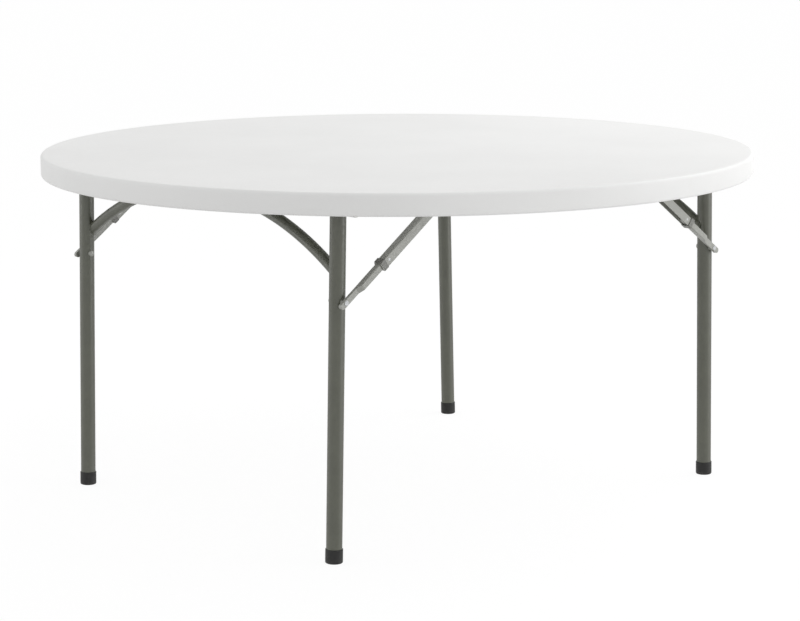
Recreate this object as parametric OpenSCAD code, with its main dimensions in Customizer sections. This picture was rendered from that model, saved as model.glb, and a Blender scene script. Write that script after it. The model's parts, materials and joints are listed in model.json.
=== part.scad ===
// Round folding table: a hollow moulded top carried by two folding sets of steel legs.
// The origin lies on the floor under the middle of the top, with Z up. X runs from one leg set
// to the other and Y runs along their cross tubes. The right set is the left one turned by half
// a turn, and each set is shifted along Y so that the folded legs lie side by side.
// All sizes are in millimetres.

/* [Table top] */
// Diameter of the top
top_d = 1524; // [1500:1:1700]
// Height of the upper face above the floor
table_h = 736.6; // [660:0.1:760]
// Depth of the rim, from the upper face to its lower edge
rim_depth = 44.5; // [38:0.5:60]
// Width of the rim's lower edge
rim_w = 30; // [22:1:34]
// Thickness of the double-walled panel inside the rim
panel_t = 16; // [15:0.5:20]
// Thickness of the moulded skin
skin_t = 2.5; // [1.5:0.1:3]
// Rounding of the rim's upper edge
rim_top_r = 7; // [4:0.5:12]
// Rounding of the rim's lower edges
rim_foot_r = 5; // [3.5:0.5:8]
// Mouth diameter of the dimples that tie the lower skin to the upper one
dimple_d = 26; // [18:1:40]
// Diameter of a dimple at its floor
dimple_floor_d = 12; // [8:1:16]
// Distance between neighbouring dimples
dimple_pitch = 120; // [90:5:200]

/* [Leg sets] */
// Distance of each cross tube's axis from the edge of the top
edge_to_pivot = 252; // [240:1:262]
// Smallest gap between a saddle and the rim's inner wall, which sets the legs' spacing
rim_gap = 2.2; // [1:0.1:20]
// Shift of each set along its cross tube
set_shift = 20; // [17:0.5:24]
// Outside diameter of the leg tubes
leg_d = 31.8; // [28:0.1:32]
// Outside diameter of the cross tubes
cross_tube_d = 31.8; // [31:0.1:34]
// Outside diameter of the curved gusset tubes
gusset_d = 22.4; // [19:0.1:23]
// Wall of all the tubes
tube_wall = 1.2; // [0.9:0.1:2]
// Outward lean of the legs in degrees
splay = 1.5; // [0:0.1:3]
// Bend radius of a gusset at its middle line
gusset_r = 700; // [500:1:900]
// Distance down the leg from the cross tube's axis to the gusset
gusset_drop = 142; // [110:1:150]
// Distance from a leg's axis to the gusset's end on the cross tube
gusset_reach = 300; // [240:1:330]
// Depth by which a gusset's end is coped to the cross tube
gusset_bite = 7; // [5:0.5:10]
// Distance of the gussets from the middle of the legs, towards the middle of the table
gusset_inset = 8; // [4:0.1:8.5]

/* [Feet] */
// Height of a foot cap
cap_h = 28; // [20:1:40]
// Wall of a foot cap
cap_wall = 1.5; // [1.3:0.1:3]
// Thickness of a foot cap under the end of the leg
cap_floor = 5; // [3:0.5:8]
// Rounding of a foot cap's upper edge
cap_edge_r = 1.2; // [0.5:0.1:1.3]
// Rounding of a foot cap's lower edge
cap_toe_r = 3; // [1:0.1:4]

/* [Pivot saddles] */
// Width of a saddle along the cross tube
saddle_w = 30; // [26:1:34]
// Thickness of the saddle's steel
saddle_t = 2.5; // [2:0.1:3]
// Length of each flange that is screwed to the top
saddle_flange = 20; // [18:1:26]
// Corner radius of the saddles' and brackets' plates
plate_r = 8; // [3:0.5:9]
// Distance between the two screws in a flange
saddle_screw_pitch = 15; // [12:0.5:18]
// Gap between a leg and its saddle
saddle_gap = 3; // [2:0.5:6]
// Wall of the plastic bush round the cross tube
bush_wall = 2; // [1.5:0.1:3]
// Height and thickness of the bush's end collars
bush_collar = 1.5; // [1:0.1:2]
// Space left between the bush and the top
bush_headroom = 1.5; // [1:0.1:4]
// Length of the plug inside each end of a cross tube
plug_l = 14; // [8:1:24]
// Thickness of the plug's head
plug_head = 2; // [1.5:0.1:4]

/* [Braces] */
// Distance down the leg from the cross tube's axis to the brace's rivet
brace_drop = 186.5; // [175:0.5:192]
// Angle of the open brace above the horizontal
brace_angle = 36; // [34:0.1:38]
// Width of the upper arm, a steel channel
channel_w = 18; // [17.6:0.1:22]
// Depth of the channel
channel_h = 18.5; // [16.5:0.5:20]
// Thickness of the channel's steel
channel_t = 1.5; // [1:0.1:2]
// Outer bend radius of the channel
channel_r = 2.5; // [2:0.1:4]
// Length of the channel past its upper rivet
channel_tail = 9.5; // [9:0.5:11]
// Length of the channel past the knee
channel_nose = 23; // [16:0.5:26]
// Width of the lower arm, a flattened tube
bar_w = 14; // [11:0.1:14.2]
// Depth of the lower arm
bar_h = 14.5; // [13:0.5:15]
// Wall of the lower arm
bar_wall = 1.5; // [1:0.1:2]
// Corner radius of the lower arm
bar_r = 3; // [2:0.1:5]
// Solid length past the rivet at the knee end of the lower arm
bar_end = 9; // [8:0.5:14]
// Distance from the rivet at the leg to where the arm's flattened end begins
crimp_l = 48; // [30:1:52]
// Thickness and depth of the flattened end
crimp_t = 7; // [5:0.1:9]
crimp_h = 12; // [11:0.5:13]
// Length over which the arm narrows to that depth
taper_l = 36; // [24:1:40]
// Length of the arm past the rivet at the leg
arm_tail = 16; // [12:0.5:18]
// Diameter of the brace's rivets
rivet_d = 6; // [5:0.1:7]
// Diameter of the rivet heads
rivet_head_d = 10; // [9:0.5:11]
// Thickness of the rivet heads
rivet_head_t = 0.8; // [0.5:0.1:1]
// Diameter of the stud through the leg that carries the brace
stud_d = 8; // [6:0.5:9]
// Diameter and thickness of the stud's head
stud_head_d = 13; // [11:0.5:14]
stud_head_t = 2; // [1.5:0.1:2.5]
// Diameter of the stud's collar and of the washer that turns against it
collar_d = 11; // [10:0.5:12]
// Thickness of the bracket's steel
bracket_t = 2; // [1.5:0.1:2.5]
// Length of the bracket's base plate
bracket_l = 50; // [46:1:70]
// Width of the bracket's ears
ear_w = 18; // [15:0.5:20]
// Distance between the bracket's two screws
bracket_screw_pitch = 34; // [32:0.5:36]
// Gap between a folded leg and the bracket
leg_clearance = 0.5; // [0.4:0.1:4]

/* [Lock rings] */
// Length of a ring along the brace
ring_l = 11; // [8:0.5:12]
// Thickness of the ring's steel
ring_t = 1.2; // [1:0.1:2]
// Gap between the ring and the channel's sides
ring_side_gap = 0.5; // [0.3:0.1:0.6]
// Height of the flared lips that stop a ring at the channel's end
lip_h = 1.1; // [0.8:0.1:1.4]
// Length of the lips
lip_l = 1.7; // [1.2:0.1:2.5]

/* [Screws] */
// Diameter of a screw's shank
screw_d = 4.8; // [4:0.1:5.5]
// Length of a screw under its head
screw_l = 12; // [10:0.5:12.5]
// Diameter of a screw's head
screw_head_d = 9; // [8:0.1:9.5]
// Thickness of a screw's head
screw_head_t = 2.4; // [2:0.1:3]
// Diameter of the flat on a screw's head
screw_face_d = 6.3; // [5:0.1:7.5]
// Width and depth of the cross in a screw's head
screw_cross = 1.2; // [0.8:0.1:1.5]
// Length of the cross
screw_cross_l = 4.5; // [3.5:0.1:5]
// Diameter of the moulded boss round each screw
screw_boss_d = 12; // [10:0.5:14]

/* [Hidden] */
$fn = 96;

// Clearances: a turning fit, a close fit, a plain gap and the joint under a weld
run_fit = 0.08;
close_fit = 0.04;
gap = 0.3;
weld = 0.05;
// How far a cutting shape reaches past the face that it cuts
past = 1;

// Places of the cross tubes, and heights
pivot_x = top_d / 2 - edge_to_pivot;
under_z = table_h - panel_t;
pivot_drop = cross_tube_d / 2 + run_fit + bush_wall + bush_collar + bush_headroom;
pivot_z = under_z - pivot_drop;
leg_len = pivot_z / cos(splay);

// Radii round the pivot axis
bush_r = cross_tube_d / 2 + run_fit + bush_wall;
saddle_in_r = bush_r + close_fit;
saddle_out_r = saddle_in_r + saddle_t;

// Places along the cross tube, measured outwards from a leg's axis
bush_half_l = saddle_w / 2 + gap + bush_collar;
saddle_y = leg_d / 2 + saddle_gap + bush_half_l;
tube_overhang = saddle_y + bush_half_l + gap;

// The legs stand as far apart as the rim lets the saddles' outer corners go
rim_in_r = top_d / 2 - rim_w;
saddle_x_out = pivot_x + saddle_out_r + saddle_flange;
saddle_y_out = plate_r
    + sqrt(pow(rim_in_r - rim_gap - plate_r, 2) - pow(saddle_x_out - plate_r, 2));
leg_spacing = 2 * (saddle_y_out - saddle_w / 2 - saddle_y - set_shift);

// The brace opens into a straight line from its bracket to the leg. Folded, the knee lies beyond
// the leg's rivet and both arms lie along the leg, so the arms differ by the distance that is
// left between the two rivets.
brace_len = brace_drop * cos(splay) / sin(brace_angle);
anchor_x = brace_len * cos(brace_angle) - brace_drop * sin(splay);
fold_gap = anchor_x - brace_drop;
upper_len = (brace_len + fold_gap) / 2;
ring_half_w = channel_w / 2 + ring_side_gap + ring_t;
bracket_half_w = channel_w / 2 + gap + bracket_t;
brace_offset = leg_d / 2 + leg_clearance + bracket_half_w;
// Faces of the channel across its depth, whose open side is positive
web_in = -(bar_h / 2 + gap);
web_out = web_in - channel_t;

screw_hole_r = screw_d / 2 + close_fit;

// The two leg sets, and each corner by its name, its set and its side of the table
SETS = ["left", "right"];
CORNERS = [for (s = SETS, side = ["front", "rear"]) [str(s, "_", side), s, side]];

CORNER_PARTS = ["leg", "gusset", "foot_cap", "brace_boss", "tube_plug", "pivot_saddle",
                "pivot_bush", "brace_bracket", "upper_arm", "lower_arm", "knee_rivet",
                "leg_rivet", "lock_ring"];

// The turn of a leg set, and on which side of its own set a corner lies
function turn(s) = s == "left" ? 0 : 180;
function way(c) = (c[1] == "left") == (c[2] == "rear") ? 1 : -1;
function leg_y(c) = way(c) * leg_spacing / 2 + set_shift;

// Offsets of a saddle's screws from the saddle's middle
function saddle_screws_at() = [for (x = [-1, 1], y = [-1, 1])
    [x * (saddle_out_r + saddle_flange / 2), y * saddle_screw_pitch / 2]];
// Offsets of a brace bracket's screws from its rivet
function bracket_screws_at() = [for (x = [-1, 1]) [x * bracket_screw_pitch / 2, 0]];

// Origin on the pivot axis at a leg, X towards the middle of the table, Y away from the set
module corner(c)
    rotate([0, 0, turn(c[1])])
        translate([-pivot_x, leg_y(c), pivot_z])
            mirror([0, way(c) < 0 ? 1 : 0, 0])
                children();

// The same, leaning with the leg, which runs down along negative Z
module leaning(c) corner(c) rotate([0, splay, 0]) children();

// Origin on a saddle's middle, and on a brace bracket's rivet
module at_saddle(c) corner(c) translate([0, saddle_y, 0]) children();
module at_bracket(c) corner(c) translate([anchor_x, brace_offset, 0]) children();

// Origin on the bracket's rivet, X along the open brace, Z out of the channel's open side
module along_brace(c) at_bracket(c) rotate([0, 180 - brace_angle, 0]) children();

// A cylinder along Y from y0 to y1
module pin(d, y0, y1) translate([0, y0, 0]) rotate([-90, 0, 0]) cylinder(d = d, h = y1 - y0);

// A section, drawn across Y and Z, run along X from x0 to x1
module run(x0, x1) translate([x0, 0, 0]) rotate([90, 0, 90]) linear_extrude(x1 - x0) children();

// A side view, drawn along X and Z, made w thick across Y
module side(w) translate([0, w / 2, 0]) rotate([90, 0, 0]) linear_extrude(w) children();

// A rectangle with round corners, centred
module soft_rect(w, h, r) {
    square([w - 2 * r, h], center = true);
    square([w, h - 2 * r], center = true);
    for (x = [-1, 1], y = [-1, 1])
        translate([x * (w / 2 - r), y * (h / 2 - r)]) circle(r);
}

// A tube along negative Z from z0 down to z1
module tube(d, z0, z1)
    translate([0, 0, z1])
        difference() {
            cylinder(d = d, h = z0 - z1);
            translate([0, 0, -past]) cylinder(d = d - 2 * tube_wall, h = z0 - z1 + 2 * past);
        }

// Half section of the top, or of its hollow when drawn in by the skin
module top_section(inset) {
    out_r = top_d / 2 - inset;
    in_r = top_d / 2 - rim_w + inset;
    high = table_h - inset;
    low = table_h - rim_depth + inset;
    edge_r = rim_top_r - inset;
    foot_r = rim_foot_r - inset;
    translate([0, under_z + inset]) square([out_r - edge_r, high - under_z - inset]);
    translate([in_r, low + foot_r]) square([out_r - in_r, high - edge_r - low - foot_r]);
    translate([in_r + foot_r, low]) square([out_r - in_r - 2 * foot_r, foot_r]);
    translate([out_r - edge_r, high - edge_r]) circle(edge_r);
    for (x = [in_r + foot_r, out_r - foot_r]) translate([x, low + foot_r]) circle(foot_r);
}

// Where the eight fittings sit on the underside, each with the half lengths of its footprint
FOOTPRINTS = [for (c = CORNERS, fit = [
        [0, saddle_y, saddle_out_r + saddle_flange, saddle_w / 2],
        [anchor_x, brace_offset, bracket_l / 2, bracket_half_w]])
    let (s = c[1] == "left" ? 1 : -1)
    [s * (fit[0] - pivot_x), s * (leg_y(c) + way(c) * fit[1]), fit[2], fit[3]]];

// Whether a dimple at p keeps clear of the fittings
function is_free(p) = len([for (f = FOOTPRINTS)
    if (abs(p[0] - f[0]) < f[2] + dimple_d && abs(p[1] - f[1]) < f[3] + dimple_d) 1]) == 0;

// Dimples on a triangular grid that fills the panel
grid_n = ceil(top_d / 2 / dimple_pitch / sin(60));
DIMPLES = [for (j = [-grid_n:grid_n], i = [-grid_n:grid_n])
    let (p = [(i + (j % 2 == 0 ? 0 : 0.5)) * dimple_pitch, j * dimple_pitch * sin(60)])
    if (norm(p) < top_d / 2 - rim_w - dimple_d && is_free(p)) p];

module dimple_cone(d_low, d_high, z0, z1)
    for (p = DIMPLES)
        translate([p[0], p[1], z0])
            cylinder(d1 = d_low, d2 = d_high, h = z1 - z0, $fn = 32);

// Runs its children at every screw, with the origin on the underside of the top
module at_saddle_screws()
    for (c = CORNERS, p = saddle_screws_at())
        at_saddle(c) translate([p[0], p[1], pivot_drop]) children();
module at_bracket_screws()
    for (c = CORNERS, p = bracket_screws_at())
        at_bracket(c) translate([p[0], p[1], pivot_drop]) children();

module screw_boss() cylinder(d = screw_boss_d, h = panel_t - skin_t / 2, $fn = 32);
module screw_hole() translate([0, 0, -past]) cylinder(r = screw_hole_r, h = screw_l + past);

module tabletop() color("whitesmoke") difference() {
    union() {
        rotate_extrude($fn = 240) difference() {
            top_section(0);
            top_section(skin_t);
        }
        dimple_cone(dimple_d + 2 * skin_t, dimple_floor_d + 2 * skin_t,
                    under_z + skin_t / 2, table_h - skin_t / 2);
        at_saddle_screws() screw_boss();
        at_bracket_screws() screw_boss();
    }
    dimple_cone(dimple_d, dimple_floor_d, under_z, table_h - 2 * skin_t);
    at_saddle_screws() screw_hole();
    at_bracket_screws() screw_hole();
}

// A cross-headed screw driven up through a plate of thickness t
module screw(t) translate([0, 0, -t]) difference() {
    union() {
        cylinder(d = screw_d, h = screw_l, $fn = 32);
        translate([0, 0, -screw_head_t / 2])
            cylinder(d = screw_head_d, h = screw_head_t / 2, $fn = 48);
        translate([0, 0, -screw_head_t])
            cylinder(d1 = screw_face_d, d2 = screw_head_d, h = screw_head_t / 2, $fn = 48);
    }
    for (a = [0, 90]) rotate([0, 0, a])
        translate([0, 0, -screw_head_t])
            cube([screw_cross_l, screw_cross, 2 * screw_cross], center = true);
}
module saddle_screws() color("silver") at_saddle_screws() screw(saddle_t);
module bracket_screws() color("silver") at_bracket_screws() screw(bracket_t);

module cross_tube(s) color("dimgray")
    rotate([0, 0, turn(s)]) translate([-pivot_x, set_shift, pivot_z])
        rotate([90, 0, 0])
            tube(cross_tube_d, leg_spacing / 2 + tube_overhang,
                 -leg_spacing / 2 - tube_overhang);

module tube_plug(c) color("black") corner(c) {
    pin(cross_tube_d, tube_overhang, tube_overhang + plug_head);
    pin(cross_tube_d - 2 * tube_wall - 2 * close_fit, tube_overhang - plug_l, tube_overhang);
}

// The leg's upper end is coped to sit under the cross tube, and the brace's stud goes through it
module leg(c) color("dimgray") leaning(c) difference() {
    tube(leg_d, 0, -(leg_len - cap_floor));
    pin(cross_tube_d + 2 * weld, -leg_d, leg_d);
    translate([0, 0, -brace_drop]) pin(stud_d + 2 * close_fit, -leg_d, leg_d);
}

// The gusset is an arc, drawn across Y and Z, and its ends are coped to the leg and the cross tube
module gusset(c) color("dimgray") leaning(c) difference() {
    top = [-gusset_reach, gusset_bite - (cross_tube_d + gusset_d) / 2];
    foot = [0, -gusset_drop];
    chord = top - foot;
    middle = (top + foot) / 2 - [chord[1], -chord[0]] / norm(chord)
        * sqrt(pow(gusset_r, 2) - pow(norm(chord) / 2, 2));
    from_foot = atan2(foot[1] - middle[1], foot[0] - middle[0]);
    to_top = atan2(top[1] - middle[1], top[0] - middle[0]);
    translate([gusset_inset, middle[0], middle[1]]) rotate([90, 0, 90])
        rotate([0, 0, from_foot]) rotate_extrude(angle = to_top - from_foot, $fn = 360)
            translate([gusset_r, 0]) difference() {
                circle(d = gusset_d, $fn = 64);
                circle(d = gusset_d - 2 * tube_wall, $fn = 64);
            }
    translate([0, 0, -pivot_z]) cylinder(d = leg_d + 2 * weld, h = pivot_z);
    pin(cross_tube_d + 2 * weld, -leg_spacing, leg_spacing);
}

// The cap is cut off level where it stands on the floor
module foot_cap(c) color("black") difference() {
    cap_r = leg_d / 2 + close_fit + cap_wall;
    toe = cap_r * tan(splay);
    leaning(c) translate([0, 0, cap_h - leg_len]) difference() {
        rotate_extrude() {
            translate([0, -cap_h - toe]) square([cap_r - cap_toe_r, cap_h + toe - cap_edge_r]);
            translate([0, -cap_h - toe + cap_toe_r])
                square([cap_r, cap_h + toe - cap_toe_r - cap_edge_r]);
            translate([cap_r - cap_toe_r, -cap_h - toe + cap_toe_r]) circle(cap_toe_r);
            translate([0, -cap_edge_r]) square([cap_r - cap_edge_r, cap_edge_r]);
            translate([cap_r - cap_edge_r, -cap_edge_r]) circle(cap_edge_r);
        }
        translate([0, 0, cap_floor - cap_h])
            cylinder(r = leg_d / 2 + close_fit, h = cap_h);
    }
    corner(c) translate([0, 0, -pivot_z - cap_h])
        cube([leg_len, leg_len, 2 * cap_h], center = true);
}

// The stud goes through the leg and ends in a collar, which the brace's washer turns against
module brace_boss(c) color("dimgray") leaning(c) translate([0, 0, -brace_drop]) {
    end = brace_offset - channel_w / 2 - gap;
    pin(stud_d, -leg_d / 2, end);
    difference() {
        union() {
            pin(stud_head_d, -leg_d / 2 - stud_head_t, 0);
            pin(collar_d, 0, end);
        }
        translate([0, 0, -leg_len / 2]) cylinder(d = leg_d + 2 * weld, h = leg_len);
    }
}

module pivot_saddle(c) color("silver") at_saddle(c) difference() {
    union() {
        side(saddle_w) {
            circle(saddle_out_r);
            translate([-saddle_out_r, 0]) square([2 * saddle_out_r, pivot_drop]);
        }
        translate([0, 0, pivot_drop - saddle_t]) linear_extrude(saddle_t)
            soft_rect(2 * (saddle_out_r + saddle_flange), saddle_w, plate_r);
    }
    pin(2 * saddle_in_r, -saddle_w, saddle_w);
    translate([-saddle_in_r, -saddle_w, 0])
        cube([2 * saddle_in_r, 2 * saddle_w, pivot_drop + past]);
    for (p = saddle_screws_at())
        translate([p[0], p[1], 0]) cylinder(r = screw_hole_r, h = pivot_drop + past);
}

module pivot_bush(c) color("ivory") at_saddle(c) difference() {
    union() {
        pin(2 * bush_r, -bush_half_l, bush_half_l);
        for (y = [-bush_half_l, bush_half_l - bush_collar])
            pin(2 * (bush_r + bush_collar), y, y + bush_collar);
    }
    pin(cross_tube_d + 2 * run_fit, -saddle_w, saddle_w);
}

module brace_bracket(c) color("silver") at_bracket(c) difference() {
    union() {
        translate([0, 0, pivot_drop - bracket_t]) linear_extrude(bracket_t)
            soft_rect(bracket_l, 2 * bracket_half_w, plate_r);
        for (y = [-1, 1])
            translate([0, y * (bracket_half_w - bracket_t / 2), 0])
                side(bracket_t) {
                    circle(d = ear_w);
                    translate([-ear_w / 2, 0]) square([ear_w, pivot_drop - bracket_t / 2]);
                }
    }
    pin(rivet_d + 2 * close_fit, -2 * bracket_half_w, 2 * bracket_half_w);
    for (p = bracket_screws_at())
        translate([p[0], p[1], 0]) cylinder(r = screw_hole_r, h = pivot_drop + past);
}

// The brace's rivets are flush on the leg's side, where the folded leg and the ring pass
module bracket_rivets() color("silver") for (c = CORNERS) at_bracket(c) {
    pin(rivet_d, -bracket_half_w, bracket_half_w);
    pin(rivet_head_d, bracket_half_w, bracket_half_w + rivet_head_t);
}
module knee_rivet(c) color("silver")
    along_brace(c) translate([upper_len, 0, 0]) pin(rivet_d, -channel_w / 2, channel_w / 2);
// This rivet carries the washer that turns against the stud's collar
module leg_rivet(c) color("silver")
    along_brace(c) translate([brace_len, 0, 0]) {
        pin(rivet_d, -bar_w / 2, crimp_t - bar_w / 2);
        pin(rivet_head_d, crimp_t - bar_w / 2, crimp_t - bar_w / 2 + rivet_head_t);
        pin(collar_d, -channel_w / 2, -bar_w / 2);
    }

// The channel's leg side is notched where the washer comes to lie when folded
module upper_arm(c) color("darkgray") along_brace(c) {
    nose = upper_len + channel_nose;
    difference() {
        intersection() {
            run(-channel_tail, nose)
                translate([0, web_out + channel_h / 2]) difference() {
                    union() {
                        soft_rect(channel_w, channel_h, channel_r);
                        translate([-channel_w / 2, 0]) square([channel_w, channel_h / 2]);
                    }
                    translate([0, channel_t + past])
                        soft_rect(channel_w - 2 * channel_t, channel_h + 2 * past,
                                  channel_r - channel_t);
                }
            side(2 * channel_w) {
                circle(channel_tail);
                translate([0, -channel_h]) square([nose, 2 * channel_h]);
            }
        }
        pin(rivet_d + 2 * run_fit, -channel_w, channel_w);
        translate([upper_len, 0, 0])
            pin(rivet_d + 2 * close_fit, -channel_w, channel_w);
        translate([fold_gap - collar_d / 2 - past, -channel_w, -collar_d / 2 - 2 * gap])
            cube([collar_d + 2 * past, channel_w, channel_h]);
    }
    for (y = [-1, 1])
        translate([nose - lip_l, y * (channel_w + lip_h - channel_t) / 2 - (channel_t + lip_h) / 2,
                   web_out + channel_r])
            cube([lip_l, channel_t + lip_h, channel_h - 2 * channel_r]);
}

// The lower arm narrows towards the leg, where its end is flattened from its outer side
module lower_arm(c) color("darkgray")
    along_brace(c) translate([upper_len, 0, 0]) {
        l = brace_len - upper_len;
        tip = l + arm_tail;
        crimp_x = l - crimp_l;
        // Half depths along the arm
        edge = [[0, bar_h / 2], [crimp_x - taper_l, bar_h / 2], [crimp_x, crimp_h / 2],
                [tip - crimp_h / 2, crimp_h / 2]];
        difference() {
            intersection() {
                run(-bar_h / 2, tip) soft_rect(bar_w, bar_h, bar_r);
                side(2 * bar_w) {
                    circle(d = bar_h);
                    translate([tip - crimp_h / 2, 0]) circle(d = crimp_h);
                    polygon(concat([for (p = edge) [p[0], -p[1]]],
                                   [for (i = [len(edge) - 1:-1:0]) edge[i]]));
                }
            }
            run(bar_end, crimp_x)
                soft_rect(bar_w - 2 * bar_wall, crimp_h - 2 * bar_wall, bar_r / 2);
            translate([0, 0, -bar_h]) linear_extrude(2 * bar_h)
                polygon([[crimp_x, bar_w / 2 + past], [crimp_x + bar_w, crimp_t - bar_w / 2],
                         [tip + past, crimp_t - bar_w / 2], [tip + past, bar_w / 2 + past]]);
            pin(rivet_d + 2 * run_fit, -bar_w, bar_w);
            translate([l, 0, 0]) pin(rivet_d + 2 * close_fit, -bar_w, bar_w);
        }
    }

// The ring wraps the knee and rests against the lips at the channel's end
module lock_ring(c) color("gray") along_brace(c) {
    end = upper_len + channel_nose - lip_l - gap;
    in_h = channel_h + 2 * gap;
    run(end - ring_l, end)
        translate([0, web_out + channel_h / 2]) difference() {
            soft_rect(2 * ring_half_w, in_h + 2 * ring_t, channel_r);
            soft_rect(2 * (ring_half_w - ring_t), in_h, channel_r - ring_t);
        }
}

module corner_part(c, p) {
    if (p == "leg") leg(c);
    if (p == "gusset") gusset(c);
    if (p == "foot_cap") foot_cap(c);
    if (p == "brace_boss") brace_boss(c);
    if (p == "tube_plug") tube_plug(c);
    if (p == "pivot_saddle") pivot_saddle(c);
    if (p == "pivot_bush") pivot_bush(c);
    if (p == "brace_bracket") brace_bracket(c);
    if (p == "upper_arm") upper_arm(c);
    if (p == "lower_arm") lower_arm(c);
    if (p == "knee_rivet") knee_rivet(c);
    if (p == "leg_rivet") leg_rivet(c);
    if (p == "lock_ring") lock_ring(c);
}

tabletop();
saddle_screws();
bracket_screws();
bracket_rivets();
for (s = SETS) cross_tube(s);
for (c = CORNERS, p = CORNER_PARTS)
    corner_part(c, p);
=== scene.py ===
"""Round folding table: a white blow-moulded top on two folding sets of grey powder-coated legs."""
import json
from math import asin, atan2, ceil, cos, degrees, hypot, pi, radians, sin, sqrt

import bpy
from mathutils import Matrix, Vector
from mathutils.geometry import delaunay_2d_cdt


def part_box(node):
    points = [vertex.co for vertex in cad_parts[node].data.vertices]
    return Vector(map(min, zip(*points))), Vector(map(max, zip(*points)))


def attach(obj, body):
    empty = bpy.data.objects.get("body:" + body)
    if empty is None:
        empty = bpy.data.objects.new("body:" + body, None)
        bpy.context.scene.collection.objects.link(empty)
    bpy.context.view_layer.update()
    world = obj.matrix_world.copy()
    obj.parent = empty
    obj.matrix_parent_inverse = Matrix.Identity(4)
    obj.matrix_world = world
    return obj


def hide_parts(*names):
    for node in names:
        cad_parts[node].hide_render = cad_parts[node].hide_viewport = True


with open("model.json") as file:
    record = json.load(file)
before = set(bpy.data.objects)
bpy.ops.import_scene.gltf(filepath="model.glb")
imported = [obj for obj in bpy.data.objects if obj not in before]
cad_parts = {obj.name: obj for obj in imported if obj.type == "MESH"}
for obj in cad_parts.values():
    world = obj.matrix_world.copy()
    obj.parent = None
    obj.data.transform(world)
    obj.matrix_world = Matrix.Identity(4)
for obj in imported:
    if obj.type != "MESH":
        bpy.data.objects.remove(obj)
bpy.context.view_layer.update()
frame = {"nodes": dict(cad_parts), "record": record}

NODES = frame["nodes"]
CORNERS = ("left_front", "left_rear", "right_front", "right_rear")
MM = 0.001

# Sizes that the part is built with, in metres and radians

TABLE_H = 736.6 * MM
TOP_R = 762 * MM
RIM_DEPTH = 44.5 * MM
RIM_W = 30 * MM
RIM_TOP_R = 7 * MM
RIM_FOOT_R = 5 * MM
PANEL_T = 16 * MM
SKIN_T = 2.5 * MM
UNDER_Z = TABLE_H - PANEL_T
DIMPLE_R = 13 * MM
DIMPLE_FLOOR_R = 6 * MM
DIMPLE_PITCH = 120 * MM
LEG_R = 15.9 * MM
CROSS_TUBE_R = 15.9 * MM
SPLAY = radians(1.5)
GUSSET_R = 11.2 * MM
GUSSET_BEND_R = 700 * MM
GUSSET_INSET = 8 * MM
GUSSET_DROP = 142 * MM
GUSSET_REACH = 300 * MM
GUSSET_BITE = 7 * MM
BRACE_DROP = 186.5 * MM
STUD_HEAD_R = 6.5 * MM
STUD_HEAD_T = 2 * MM
RIVET_HEAD_R = 5 * MM
RIVET_HEAD_T = 0.8 * MM

# Sizes of the detail that only this scene adds

LIP_R = 3 * MM
FLAT_EDGE = 1 * MM
WELD_R = 1.9 * MM
GUSSET_WELD_R = 1.3 * MM
WELD_STEP = 0.85 * MM
WELD_RIPPLE = 2.6 * MM
STUD_DOME_R = STUD_HEAD_R * 0.97
STUD_DOME_H = 1.3 * MM
HINGE_DOME_R = RIVET_HEAD_R * 0.96
HINGE_DOME_H = 1.2 * MM
DOME_SUNK = 0.2 * MM

# Camera, worked out from the photograph's feet, leg lines and rim. Lens and sensor are in millimetres

LENS = 103.3
SENSOR = 36.0
CAMERA_AT = Vector((-3.3307, -3.6507, 1.2851))
HEADING = 0.74065
PITCH = 0.1815
ROLL = -0.0033


# Materials

def srgb(r, g, b):
    """A display colour, 0 to 255, as a linear one."""
    def linear(c):
        c /= 255
        return c / 12.92 if c <= 0.04045 else ((c + 0.055) / 1.055) ** 2.4
    return (linear(r), linear(g), linear(b), 1.0)


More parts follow.
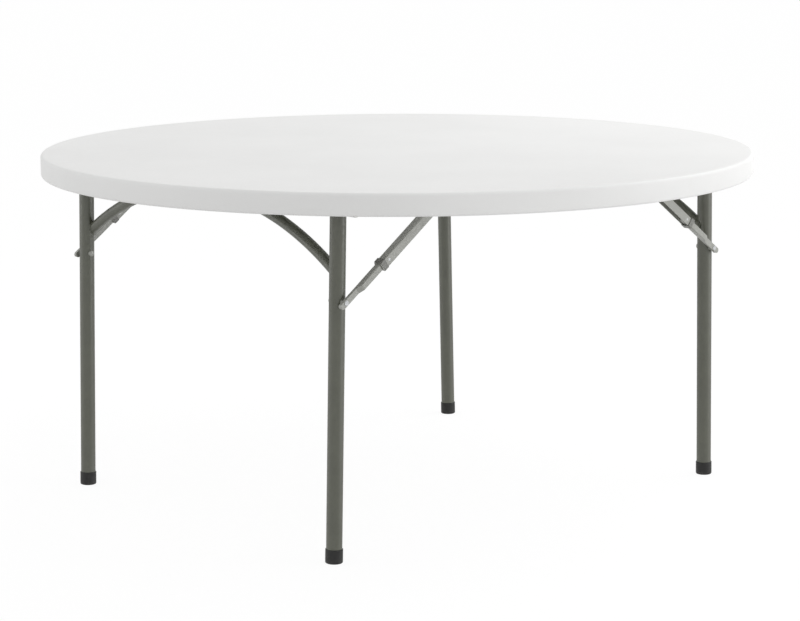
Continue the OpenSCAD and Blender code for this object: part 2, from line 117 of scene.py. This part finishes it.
class Material:
    """A node material with short calls for the nodes that the finishes share."""

    def __init__(self, name, **uniform):
        """uniform holds values for the shader's own sockets, with _ for the spaces in their names."""
        self.data = bpy.data.materials.new(name)
        self.data.use_nodes = True
        self.tree = self.data.node_tree
        self.shader = self.tree.nodes["Principled BSDF"]
        self.place = self.node("ShaderNodeTexCoord").outputs["Object"]
        for key, value in uniform.items():
            self.shader.inputs[key.replace("_", " ")].default_value = value

    def node(self, kind, **settings):
        made = self.tree.nodes.new(kind)
        for key, value in settings.items():
            setattr(made, key, value)
        return made

    def join(self, out, to):
        self.tree.links.new(out, to)

    def stretched(self, x, y, z):
        """The object's coordinates, scaled along each axis."""
        mapping = self.node("ShaderNodeMapping")
        mapping.inputs["Scale"].default_value = (x, y, z)
        self.join(self.place, mapping.inputs["Vector"])
        return mapping.outputs["Vector"]

    def noise(self, scale, detail=2.0, roughness=0.5, place=None):
        made = self.node("ShaderNodeTexNoise")
        made.inputs["Scale"].default_value = scale
        made.inputs["Detail"].default_value = detail
        made.inputs["Roughness"].default_value = roughness
        self.join(place or self.place, made.inputs["Vector"])
        return made.outputs["Fac"]

    def cells(self, scale):
        """Distance from the middles of small cells, smooth where they meet."""
        made = self.node("ShaderNodeTexVoronoi", feature="SMOOTH_F1")
        made.inputs["Scale"].default_value = scale
        made.inputs["Smoothness"].default_value = 0.8
        self.join(self.place, made.inputs["Vector"])
        return made.outputs["Distance"]

    def height(self):
        """The object's own Z."""
        made = self.node("ShaderNodeSeparateXYZ")
        self.join(self.place, made.inputs["Vector"])
        return made.outputs["Z"]

    def product(self, a, b):
        made = self.node("ShaderNodeMath", operation="MULTIPLY")
        self.join(a, made.inputs[0])
        self.join(b, made.inputs[1])
        return made.outputs["Value"]

    def ramp(self, value, low, high, start, end):
        """low where value is start or less, high where it is end or more, and even in between."""
        made = self.node("ShaderNodeMapRange", clamp=True)
        for key, number in (("From Min", start), ("From Max", end), ("To Min", low), ("To Max", high)):
            made.inputs[key].default_value = number
        self.join(value, made.inputs["Value"])
        return made.outputs["Result"]

    def blend(self, factor, a, b):
        """One colour turning into another with factor. Each is a colour or an output."""
        made = self.node("ShaderNodeMix", data_type="RGBA")
        self.join(factor, made.inputs["Factor"])
        for value, key in ((a, "A"), (b, "B")):
            socket = [s for s in made.inputs if s.name == key and s.type == "RGBA"][0]
            if isinstance(value, tuple):
                socket.default_value = value
            else:
                self.join(value, socket)
        return [s for s in made.outputs if s.type == "RGBA"][0]

    def mottle(self, a, b, scale, detail, roughness=0.5):
        """Two shades of a colour, in soft patches."""
        patches = self.ramp(self.noise(scale, detail, roughness), 0.0, 1.0, start=0.35, end=0.65)
        return self.blend(patches, a, b)

    def uneven(self, low, high, scale, detail=3.0):
        """A roughness that wanders between two values."""
        return self.ramp(self.noise(scale, detail), low, high, start=0.3, end=0.7)

    def bump(self, height, depth, strength, under=None):
        """A bump of that depth in metres, over another one."""
        made = self.node("ShaderNodeBump")
        made.inputs["Distance"].default_value = depth
        made.inputs["Strength"].default_value = strength
        self.join(height, made.inputs["Height"])
        if under:
            self.join(under, made.inputs["Normal"])
        return made.outputs["Normal"]

    def finish(self, colour, roughness, normal):
        """Joins the three to the shader."""
        self.join(colour, self.shader.inputs["Base Color"])
        self.join(roughness, self.shader.inputs["Roughness"])
        self.join(normal, self.shader.inputs["Normal"])
        return self.data


def top_plastic():
    """White polyethylene: pebbled by its mould, a little wavy, with the faint marks of use."""
    m = Material("top_plastic", Specular_IOR_Level=0.35)
    clean = m.mottle(srgb(238, 238, 237), srgb(241, 241, 240), scale=3.2, detail=3.0)
    scrapes = m.noise(scale=9.0, detail=6.0, roughness=0.7, place=m.stretched(1.0, 9.0, 1.0))
    marks = m.ramp(scrapes, 0.0, 0.25, start=0.62, end=0.78)
    colour = m.blend(marks, clean, srgb(228, 228, 225))
    waves = m.bump(m.noise(scale=5.0, detail=1.0), depth=0.6 * MM, strength=0.6)
    pebbles = m.bump(m.cells(scale=620.0), depth=0.16 * MM, strength=0.75, under=waves)
    grain = m.bump(m.noise(scale=1900.0), depth=0.05 * MM, strength=0.6, under=pebbles)
    return m.finish(colour, m.uneven(0.44, 0.56, scale=60.0), grain)


def powder_coat(name, low, high, scuff):
    """Powder-coated steel: fine orange peel, slight changes of shade and a few rubbed marks."""
    m = Material(name, Specular_IOR_Level=1.0)
    shade = m.mottle(low, high, scale=24.0, detail=4.0, roughness=0.6)
    rubs = m.noise(scale=70.0, detail=5.0, roughness=0.75, place=m.stretched(1.0, 1.0, 0.25))
    rubbed = m.ramp(rubs, 0.0, 0.4, start=0.7, end=0.84)
    colour = m.blend(rubbed, shade, scuff)
    peel = m.bump(m.noise(scale=420.0), depth=0.12 * MM, strength=0.7)
    flecks = m.bump(m.cells(scale=1500.0), depth=0.05 * MM, strength=0.5, under=peel)
    return m.finish(colour, m.uneven(0.34, 0.5, scale=150.0), flecks)


def frame_paint():
    """The dark grey-green of the leg sets."""
    return powder_coat("frame_paint", srgb(67, 69, 54), srgb(74, 76, 61), srgb(97, 98, 85))


def brace_paint():
    """The braces' pale grey: the frame's own powder coat, painted lighter as painted light from the lamp on
    the right that falls on them.
    """
    # Shades of the frame's paint as the light from the right shows it: painted light
    return powder_coat("brace_paint", srgb(144, 145, 138), srgb(151, 152, 145), srgb(164, 164, 158))


def ring_steel():
    """The darker grey of the lock rings."""
    return powder_coat("ring_steel", srgb(96, 96, 90), srgb(106, 106, 100), srgb(128, 128, 123))


def zinc():
    """Bright zinc plate, brushed a little by handling and dulled in spots."""
    m = Material("zinc", Metallic=1.0)
    colour = m.mottle(srgb(156, 158, 160), srgb(174, 175, 175), scale=110.0, detail=4.0, roughness=0.6)
    brushed = m.noise(scale=260.0, detail=3.0, roughness=0.6, place=m.stretched(1.0, 14.0, 1.0))
    lines = m.bump(brushed, depth=0.03 * MM, strength=0.5)
    return m.finish(colour, m.uneven(0.34, 0.5, scale=300.0), lines)


def cap_plastic():
    """Black polyethylene with a fine matt grain and dust near the floor."""
    m = Material("cap_plastic", Specular_IOR_Level=0.4)
    near_floor = m.ramp(m.height(), 0.35, 0.0, start=0.0, end=12 * MM)
    specks = m.noise(scale=180.0, detail=5.0, roughness=0.7)
    dust = m.product(near_floor, m.ramp(specks, 0.0, 1.0, start=0.4, end=0.7))
    colour = m.blend(dust, srgb(30, 30, 29), srgb(84, 82, 76))
    grain = m.bump(m.noise(scale=1300.0), depth=0.06 * MM, strength=0.7)
    return m.finish(colour, m.uneven(0.45, 0.62, scale=220.0), grain)


def bush_plastic():
    """Natural nylon, slightly clouded."""
    m = Material("bush_plastic", Specular_IOR_Level=0.5)
    colour = m.mottle(srgb(222, 216, 198), srgb(232, 228, 212), scale=90.0, detail=3.0)
    grain = m.bump(m.noise(scale=900.0), depth=0.03 * MM, strength=0.5)
    return m.finish(colour, m.uneven(0.32, 0.44, scale=260.0, detail=2.0), grain)


FINISHES = {make.__name__: make() for make in (top_plastic, frame_paint, brace_paint, ring_steel, zinc,
                                               cap_plastic, bush_plastic)}


def dress_nodes():
    """Gives every CAD node the finish that the record names for it."""
    slots = {part["node"]: part["material_slot"] for part in frame["record"]["subparts"]}
    for name, node in NODES.items():
        node.data.materials.clear()
        node.data.materials.append(FINISHES[slots[name]])


# Meshes

class Shape:
    """Points and faces of one mesh, gathered ring by ring."""

    def __init__(self):
        self.points, self.faces = [], []

    def ring(self, points):
        """Takes in points and gives back their numbers."""
        first = len(self.points)
        self.points += [tuple(p) for p in points]
        return list(range(first, len(self.points)))

    def strip(self, a, b):
        """Four-sided faces between two closed rings that turn left as seen from b. They face out."""
        for i in range(len(a)):
            j = (i + 1) % len(a)
            self.faces.append((a[i], a[j], b[j], b[i]))

    def rings(self, rings):
        """Closed rings, each joined to the next."""
        made = [self.ring(points) for points in rings]
        for a, b in zip(made, made[1:]):
            self.strip(a, b)
        return made

    def close_ends(self, made):
        """A face over each end of a run of rings."""
        self.faces += [tuple(made[0][::-1]), tuple(made[-1])]

    def piece(self, name, body, slot):
        """Makes the mesh an object that rides on a body and takes a slot's finish."""
        mesh = bpy.data.meshes.new(name)
        mesh.from_pydata(self.points, [], self.faces)
        mesh.validate()
        mesh.shade_smooth()
        mesh.materials.append(FINISHES[slot])
        made = bpy.data.objects.new(name, mesh)
        bpy.context.scene.collection.objects.link(made)
        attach(made, body)
        return made


def turns(steps):
    """Even angles once round."""
    return [2 * pi * i / steps for i in range(steps)]


def circle(x, y, z, r, steps):
    """Points of a level circle."""
    return [(x + r * cos(a), y + r * sin(a), z) for a in turns(steps)]


def arc(x, z, r, start, end, steps):
    """Points of an upright arc, with its angles in degrees."""
    angles = [radians(start + (end - start) * i / steps) for i in range(steps + 1)]
    return [(x + r * cos(a), z + r * sin(a)) for a in angles]


# The top

def fittings():
    """Middle and half sizes, along X and Y, of the saddles and brackets under the top."""
    boxes = [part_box(name) for name in NODES if name.endswith(("pivot_saddle", "brace_bracket"))]
    return [((low[0] + high[0]) / 2, (low[1] + high[1]) / 2, (high[0] - low[0]) / 2, (high[1] - low[1]) / 2)
            for low, high in boxes]


def dimples():
    """The middles of the dimples: a triangular grid that keeps clear of the rim and the fittings."""
    clearance = 2 * DIMPLE_R
    row_pitch = DIMPLE_PITCH * sin(radians(60))
    count = ceil(TOP_R / row_pitch)
    taken = fittings()
    spots = []
    for j in range(-count, count + 1):
        for i in range(-count, count + 1):
            x = (i + (0.5 if j % 2 else 0.0)) * DIMPLE_PITCH
            y = j * row_pitch
            free = all(abs(x - mid_x) >= half_x + clearance or abs(y - mid_y) >= half_y + clearance
                       for mid_x, mid_y, half_x, half_y in taken)
            if hypot(x, y) < TOP_R - RIM_W - clearance and free:
                spots.append((x, y))
    return spots


def dimple_profile():
    """Radius and height of a dimple's rings, from the flat round its mouth to its floor."""
    depth = PANEL_T - 2 * SKIN_T
    slant = atan2(DIMPLE_R - DIMPLE_FLOOR_R, depth)
    mouth = DIMPLE_R + LIP_R * (1 - sin(slant)) / cos(slant)
    floor = DIMPLE_R - (LIP_R + (depth - LIP_R) * sin(slant)) / cos(slant)
    lip_steps, floor_steps = 5, 4
    return ([(mouth + FLAT_EDGE, 0.0)]
            + arc(mouth, LIP_R, LIP_R, -90, degrees(slant) - 180, lip_steps)
            + arc(floor, depth - LIP_R, LIP_R, degrees(slant), 90, floor_steps))


def rim_profile():
    """Radius and height of the rim's rings, from the flat on top round the outside to the underside."""
    inner_r = TOP_R - RIM_W
    foot_z = TABLE_H - RIM_DEPTH
    top_steps, foot_steps, root_steps = 8, 6, 5
    return ([(TOP_R - RIM_TOP_R - FLAT_EDGE, TABLE_H)]
            + arc(TOP_R - RIM_TOP_R, TABLE_H - RIM_TOP_R, RIM_TOP_R, 90, 0, top_steps)
            + arc(TOP_R - RIM_FOOT_R, foot_z + RIM_FOOT_R, RIM_FOOT_R, 0, -90, foot_steps)
            + arc(inner_r + RIM_FOOT_R, foot_z + RIM_FOOT_R, RIM_FOOT_R, -90, -180, foot_steps)
            + arc(inner_r - SKIN_T, UNDER_Z - SKIN_T, SKIN_T, 0, 90, root_steps)
            + [(inner_r - SKIN_T - FLAT_EDGE, UNDER_Z)])


def fill_underside(shape, rim, mouths):
    """Triangles of the flat underside, between the rim's inner ring and the rings round the dimples."""
    triangles_inside_edges = 1
    merge = 1e-7
    loops = [rim] + [ring for _, _, ring in mouths]
    numbers = [i for loop in loops for i in loop]
    place = {i: n for n, i in enumerate(numbers)}
    edges = [(place[a], place[b]) for loop in loops for a, b in zip(loop, loop[1:] + loop[:1])]
    flat = [Vector(shape.points[i][:2]) for i in numbers]
    points, _, faces, sources, _, _ = delaunay_2d_cdt(flat, edges, [], triangles_inside_edges, merge)
    hole_r = dimple_profile()[0][0] * 0.99
    for face in faces:
        middle = sum((points[i] for i in face), Vector((0, 0))) / len(face)
        if all(hypot(middle.x - x, middle.y - y) > hole_r for x, y, _ in mouths):
            shape.faces.append(tuple(numbers[sources[i][0]] for i in face[::-1]))


def make_top():
    """The moulded top: a flat face, a turned rim, and an underside with rounded dimples."""
    rim_steps, dimple_steps = 256, 28
    shape = Shape()
    turned = shape.rings([circle(0, 0, z, r, rim_steps) for r, z in reversed(rim_profile())])
    shape.faces.append(tuple(turned[-1]))
    mouths = []
    for x, y in dimples():
        profile = reversed(dimple_profile())
        made = shape.rings([circle(x, y, UNDER_Z + z, r, dimple_steps) for r, z in profile])
        shape.faces.append(tuple(made[0][::-1]))
        mouths.append((x, y, made[-1]))
    fill_underside(shape, turned[0], mouths)
    top = shape.piece("moulded_top", "table", "top_plastic")
    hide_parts("tabletop")


# Welds and rivet heads

class Corner:
    """One leg's own frame: X towards the middle of the table, Y out along the cross tube, Z up."""

    def __init__(self, name):
        side = name.split("_")[0]
        self.name = name
        self.legs = f"{side}_legs"
        self.turn = 1 if side == "left" else -1
        low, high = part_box(f"{side}_cross_tube")
        self.pivot = [(a + b) / 2 for a, b in zip(low, high)]
        low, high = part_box(f"{name}_leg")
        self.y = (low[1] + high[1]) / 2
        self.out = 1 if self.y > 0 else -1

    def at(self, x, y, z, lean=0.0):
        """A point measured from the cross tube's middle line at the leg, and leaned about that line."""
        x, z = x * cos(lean) + z * sin(lean), z * cos(lean) - x * sin(lean)
        return Vector((self.pivot[0] + self.turn * x, self.y + self.out * y, self.pivot[2] + z))


def bead(shape, path, r, closed):
    """A rippled weld bead along a path. An open one tapers at both ends."""
    steps = 8
    ripple_depth, end_share = 0.13, 0.3
    count = len(path)
    run = 0.0
    rings = []
    side = None
    for i, p in enumerate(path):
        before = path[i - 1] if closed or i else p
        after = path[(i + 1) % count] if closed or i < count - 1 else p
        along = (after - before).normalized()
        side = (side - along * side.dot(along)) if side else along.orthogonal()
        side.normalize()
        other = along.cross(side)
        run += (p - before).length
        swell = r * (1 + ripple_depth * sin(2 * pi * run / WELD_RIPPLE))
        if not closed and i in (0, count - 1):
            swell *= end_share
        rings.append([p + side * swell * cos(a) + other * swell * sin(a) for a in turns(steps)])
    made = shape.rings(rings)
    if closed:
        last = Vector(shape.points[made[-1][0]])
        twist = min(range(steps), key=lambda k: (last - Vector(shape.points[made[0][k]])).length)
        shape.strip(made[-1], made[0][twist:] + made[0][:twist])
    else:
        shape.close_ends(made)


def evenly(points, step, closed):
    """The points of a path, set out again at even steps."""
    fewest, shortest = 4, 1e-9
    if closed:
        points = points + points[:1]
    lengths = [(b - a).length for a, b in zip(points, points[1:])]
    total = sum(lengths)
    count = max(fewest, round(total / step))
    spots, i, run = [], 0, 0.0
    for n in range(count if closed else count + 1):
        want = total * n / count
        while i < len(lengths) - 1 and run + lengths[i] < want:
            run += lengths[i]
            i += 1
        share = min(1.0, (want - run) / max(lengths[i], shortest))
        spots.append(points[i].lerp(points[i + 1], share))
    return spots


def gusset_bend():
    """Middle of the gusset's bend in its leg's frame, along Y and Z, and the angle of its upper end."""
    end_y, end_z = -GUSSET_REACH, GUSSET_BITE - CROSS_TUBE_R - GUSSET_R
    chord = (end_y, end_z + GUSSET_DROP)
    length = hypot(*chord)
    offset = sqrt(GUSSET_BEND_R ** 2 - (length / 2) ** 2) / length
    y = end_y / 2 - chord[1] * offset
    z = (end_z - GUSSET_DROP) / 2 + chord[0] * offset
    return y, z, atan2(end_z - z, end_y - y)


def weld_paths(corner):
    """The three seams at a leg: leg to cross tube, gusset to leg, gusset to cross tube."""
    steps = 120
    head, foot, top = [], [], []
    bend_y, bend_z, end = gusset_bend()
    for a in turns(steps):
        x, y = LEG_R * cos(a), LEG_R * sin(a)
        head.append(corner.at(x, y, -sqrt(CROSS_TUBE_R ** 2 - x ** 2), SPLAY))

        x = GUSSET_INSET + GUSSET_R * sin(a)
        r = GUSSET_BEND_R + GUSSET_R * cos(a)
        y = -sqrt(max(LEG_R ** 2 - x ** 2, 0.0))
        foot.append(corner.at(x, y, bend_z + sqrt(r ** 2 - (y - bend_y) ** 2), SPLAY))

        under = -sqrt(max(CROSS_TUBE_R ** 2 - x ** 2, 0.0))
        angle = asin(min(1.0, (under - bend_z) / r))
        if angle < end:
            top.append((a, corner.at(x, bend_y + r * cos(angle), under, SPLAY)))
    # In order round the gusset, so that the open seam's gap lies between its two ends
    top.sort(key=lambda spot: (spot[0] + pi) % (2 * pi))
    return head, foot, [spot for _, spot in top]


def make_welds(corner):
    """The beads along a leg's three seams, as one piece."""
    head, foot, top = weld_paths(corner)
    welds = Shape()
    for path, r, closed in ((head, WELD_R, True), (foot, GUSSET_WELD_R, True), (top, GUSSET_WELD_R, False)):
        bead(welds, evenly(path, WELD_STEP, closed), r, closed)
    welds.piece(f"{corner.name}_welds", corner.legs, "frame_paint")


def dome(middle, axis, r, height):
    """A low domed head that stands on a plane and starts a little under it."""
    steps = 24
    side = axis.orthogonal().normalized()
    other = axis.cross(side)
    # Shares of the radius and the height, from the foot up
    rise = ((1.0, 0.25), (0.96, 0.45), (0.84, 0.68), (0.62, 0.87), (0.32, 0.97))
    profile = [(r, -DOME_SUNK)] + [(r * out, height * up) for out, up in rise]
    shape = Shape()
    made = shape.rings([[middle + axis * up + (side * cos(a) + other * sin(a)) * out for a in turns(steps)]
                        for out, up in profile])
    shape.close_ends(made)
    return shape


def make_stud_head(corner):
    """The domed head of the stud, on the leg's far side from the brace."""
    face = corner.at(0, -LEG_R - STUD_HEAD_T, -BRACE_DROP, SPLAY)
    across = Vector((0, corner.out, 0))
    head = dome(face, -across, STUD_DOME_R, STUD_DOME_H)
    # The stud heads take the braces' finish, and its painted light with it
    head.piece(f"{corner.name}_stud_head", corner.legs, "brace_paint")


def make_hinge_head(corner):
    """The domed head of the rivet that carries the brace in its bracket."""
    low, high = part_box(f"{corner.name}_brace_bracket")
    outer_y = (high if corner.out > 0 else low)[1]
    hinge = Vector(((low[0] + high[0]) / 2, outer_y, corner.pivot[2]))
    across = Vector((0, corner.out, 0))
    head = dome(hinge + across * RIVET_HEAD_T, across, HINGE_DOME_R, HINGE_DOME_H)
    head.piece(f"{corner.name}_hinge_head", "table", "zinc")


def make_joints(name):
    """The scene's own pieces at one leg."""
    corner = Corner(name)
    make_welds(corner)
    make_stud_head(corner)
    make_hinge_head(corner)


# Floor, light and camera

# Strength at which the backdrop is white
WHITE = 1.0
# Brightness of the floor under the lamps where nothing shades it
FLOOR_LIT = 0.63
# Share of the floor's real shading that the camera sees, so that the shadow stays faint
FLOOR_SHOWS = 0.12
# Half the floor's side
FLOOR_HALF = 40.0
# Strength of the soft light from all round
ROOM_LIGHT = 0.74
# The point that the lamps are turned towards
LAMPS_AIM = Vector((0.0, 0.0, 0.6))

# Right and ahead along the floor as the camera sees them, and up
RIGHT = Vector((cos(HEADING), -sin(HEADING), 0.0))
AHEAD = Vector((sin(HEADING), cos(HEADING), 0.0))
UP = Vector((0.0, 0.0, 1.0))


def seen_directly(tree):
    """1 for rays from the camera, gloss or glass, and 0 for the light that reaches a matt surface."""
    path = tree.nodes.new("ShaderNodeLightPath")
    out = path.outputs["Is Camera Ray"]
    for name in ("Is Glossy Ray", "Is Transmission Ray"):
        both = tree.nodes.new("ShaderNodeMath")
        both.operation = "MAXIMUM"
        tree.links.new(out, both.inputs[0])
        tree.links.new(path.outputs[name], both.inputs[1])
        out = both.outputs["Value"]
    return out


def mix_shaders(tree, share, a, b, to):
    """Turns from one shader into another as share goes from 0 to 1."""
    mix = tree.nodes.new("ShaderNodeMixShader")
    tree.links.new(share, mix.inputs["Fac"])
    tree.links.new(a, mix.inputs[1])
    tree.links.new(b, mix.inputs[2])
    tree.links.new(mix.outputs["Shader"], to.inputs["Surface"])


def make_world():
    """Soft white light from all round, with a backdrop that is white by itself."""
    world = bpy.data.worlds.new("studio")
    world.use_nodes = True
    bpy.context.scene.world = world
    tree = world.node_tree
    light = tree.nodes["Background"]
    backdrop = tree.nodes.new("ShaderNodeBackground")
    for background, strength in ((light, ROOM_LIGHT), (backdrop, WHITE)):
        background.inputs["Color"].default_value = (1.0, 1.0, 1.0, 1.0)
        background.inputs["Strength"].default_value = strength
    mix_shaders(tree, seen_directly(tree), light.outputs["Background"], backdrop.outputs["Background"],
                tree.nodes["World Output"])


def make_floor():
    """A wide floor that the camera sees as white where nothing shades it, with the table's shadow faint."""
    mesh = bpy.data.meshes.new("floor")
    ends = (-FLOOR_HALF, FLOOR_HALF)
    mesh.from_pydata([(x, y, 0.0) for y in ends for x in ends], [], [(0, 1, 3, 2)])
    floor = bpy.data.objects.new("floor", mesh)
    bpy.context.scene.collection.objects.link(floor)
    material = bpy.data.materials.new("floor")
    material.use_nodes = True
    tree = material.node_tree
    matt = tree.nodes["Principled BSDF"]
    matt.inputs["Base Color"].default_value = (0.8, 0.8, 0.8, 1.0)
    matt.inputs["Roughness"].default_value = 0.9
    matt.inputs["Specular IOR Level"].default_value = 0.0
    white = tree.nodes.new("ShaderNodeEmission")
    white.inputs["Strength"].default_value = (WHITE - FLOOR_SHOWS * FLOOR_LIT) / (1.0 - FLOOR_SHOWS)
    share = tree.nodes.new("ShaderNodeMath")
    share.operation = "MULTIPLY"
    share.inputs[1].default_value = 1.0 - FLOOR_SHOWS
    tree.links.new(seen_directly(tree), share.inputs[0])
    mix_shaders(tree, share.outputs["Value"], matt.outputs["BSDF"], white.outputs["Emission"],
                tree.nodes["Material Output"])
    mesh.materials.append(material)


def softbox(name, right, ahead, up, size, power):
    """A square lamp, placed as the camera sees it from the table's middle and turned towards the table."""
    lamp = bpy.data.lights.new(name, "AREA")
    lamp.shape = "SQUARE"
    lamp.size = size
    lamp.energy = power
    holder = bpy.data.objects.new(name, lamp)
    holder.location = RIGHT * right + AHEAD * ahead + UP * up
    holder.rotation_mode = "QUATERNION"
    holder.rotation_quaternion = (LAMPS_AIM - holder.location).to_track_quat("-Z", "Y")
    bpy.context.scene.collection.objects.link(holder)


def make_lights():
    """A strong wide lamp from the right, a weak one from the left and one above the table."""
    softbox("key_right", right=8.8, ahead=-1.8, up=1.2, size=3.0, power=203.0)
    softbox("fill_left", right=-4.5, ahead=0.0, up=1.0, size=2.0, power=13.0)
    softbox("overhead", right=2.0, ahead=0.9, up=2.6, size=1.7, power=21.5)


def make_camera():
    """The photograph's viewpoint, with the camera tipped down and rolled a little."""
    data = bpy.data.cameras.new("camera")
    data.lens = LENS
    data.sensor_width = SENSOR
    camera = bpy.data.objects.new("camera", data)
    back = -(AHEAD * cos(PITCH) - UP * sin(PITCH))
    turn = Matrix((RIGHT, back.cross(RIGHT), back)).transposed() @ Matrix.Rotation(ROLL, 3, "Z")
    camera.rotation_mode = "QUATERNION"
    camera.rotation_quaternion = turn.to_quaternion()
    camera.location = CAMERA_AT
    bpy.context.scene.collection.objects.link(camera)
    bpy.context.scene.camera = camera


dress_nodes()
make_top()
for corner_name in CORNERS:
    make_joints(corner_name)
make_world()
make_floor()
make_lights()
make_camera()
bpy.context.scene.view_settings.view_transform = "Standard"
